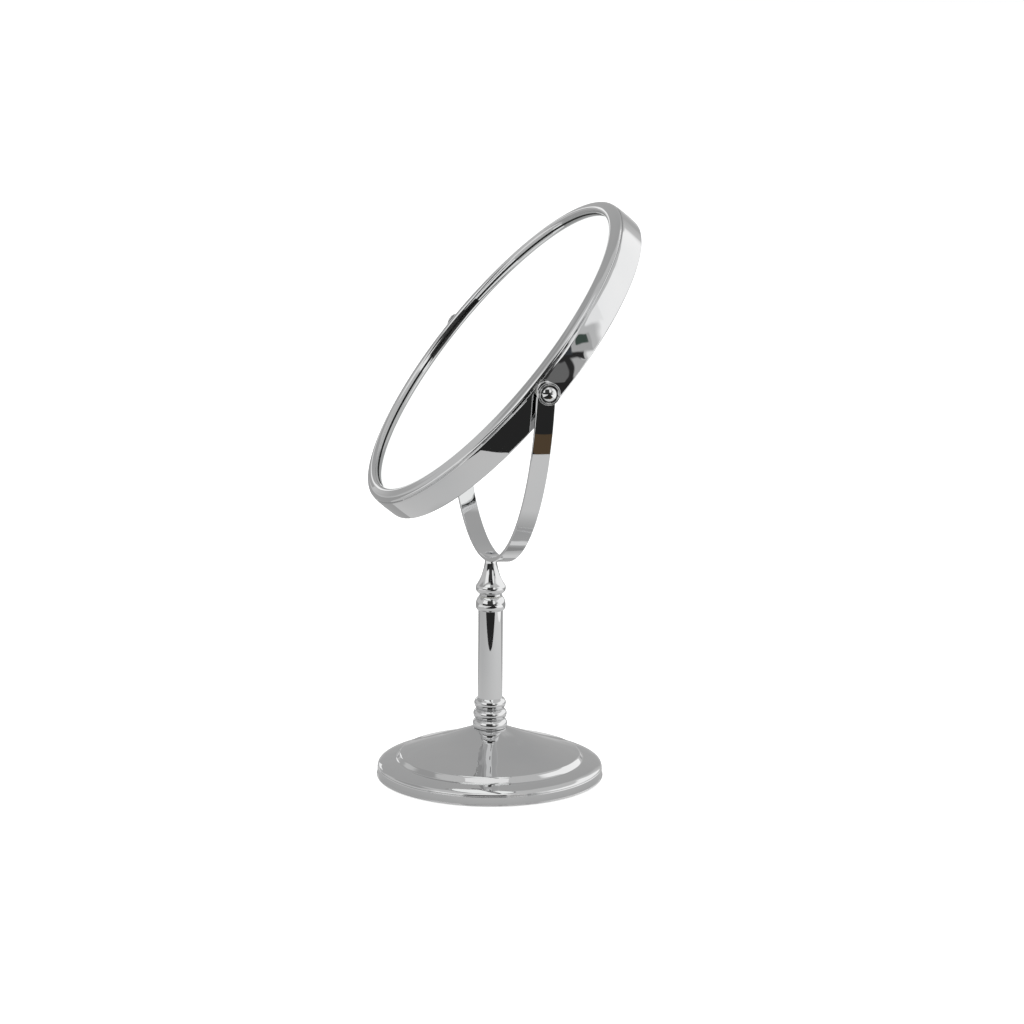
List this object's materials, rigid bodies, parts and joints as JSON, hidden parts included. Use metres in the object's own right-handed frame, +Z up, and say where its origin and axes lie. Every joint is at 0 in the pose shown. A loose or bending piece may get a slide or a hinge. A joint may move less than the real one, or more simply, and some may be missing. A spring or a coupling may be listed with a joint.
{
  "type": "pedestal shaving mirror",
  "caption": "Free-standing two-sided round mirror that tilts in a chromed yoke on a turned pedestal stem with a weighted dished base.",
  "frame": {"origin": "centre of the base's underside, where it rests on the table", "axes": "+Z up the stem; +X along the mirror's pivot axis; the plain glass faces -Y when upright, and is stored looking 40 degrees up"},
  "size_m": [0.2256, 0.1415, 0.3134],
  "materials": {
    "chrome_plate": "polished bright chrome plate",
    "silvered_glass": "silvered mirror glass",
    "plain_steel": "zinc-plated steel",
    "ballast_iron": "rough as cast",
    "base_felt": "black felt",
    "nylon": "natural nylon",
    "gasket_rubber": "matt black rubber",
    "board": "raw hardboard"
  },
  "bodies": {
    "stand": {"base_cover": "chrome_plate", "ballast": "ballast_iron", "base_pad": "base_felt", "base_washer": "plain_steel", "base_nut": "plain_steel", "tie_rod": "plain_steel", "ring_collar": "chrome_plate", "tube_plug": "plain_steel", "stem_tube": "chrome_plate", "stem_bead": "chrome_plate", "swivel_washer": "nylon"},
    "yoke": {"swivel_bolt": "plain_steel", "swivel_spring": "plain_steel", "bell_finial": "chrome_plate", "yoke_hoop": "chrome_plate", "yoke_screw": "plain_steel", "spring_washer_left": "plain_steel", "spring_washer_right": "plain_steel", "cup_washer_left": "chrome_plate", "cup_washer_right": "chrome_plate"},
    "mirror": {"rim_band": "chrome_plate", "front_bezel": "chrome_plate", "rear_bezel": "chrome_plate", "front_glass": "silvered_glass", "rear_glass": "silvered_glass", "backing_board": "board", "glass_spacer": "gasket_rubber", "front_gasket": "gasket_rubber", "rear_gasket": "gasket_rubber", "pivot_stud_left": "plain_steel", "pivot_stud_right": "plain_steel", "pivot_spacer_left": "chrome_plate", "pivot_spacer_right": "chrome_plate", "friction_washer_left": "nylon", "friction_washer_right": "nylon", "pivot_cap_left": "chrome_plate", "pivot_cap_right": "chrome_plate"}
  },
  "joints": [
    {"name": "yoke_swivel", "type": "hinge", "parent": "stand", "child": "yoke", "pos_m": [0, 0, 0.1013], "axis": [0, 0, 1], "continuous": true},
    {"name": "mirror_tilt", "type": "hinge", "parent": "yoke", "child": "mirror", "pos_m": [0, 0.00478, 0.232], "axis": [1, 0, 0], "continuous": true}
  ]
}
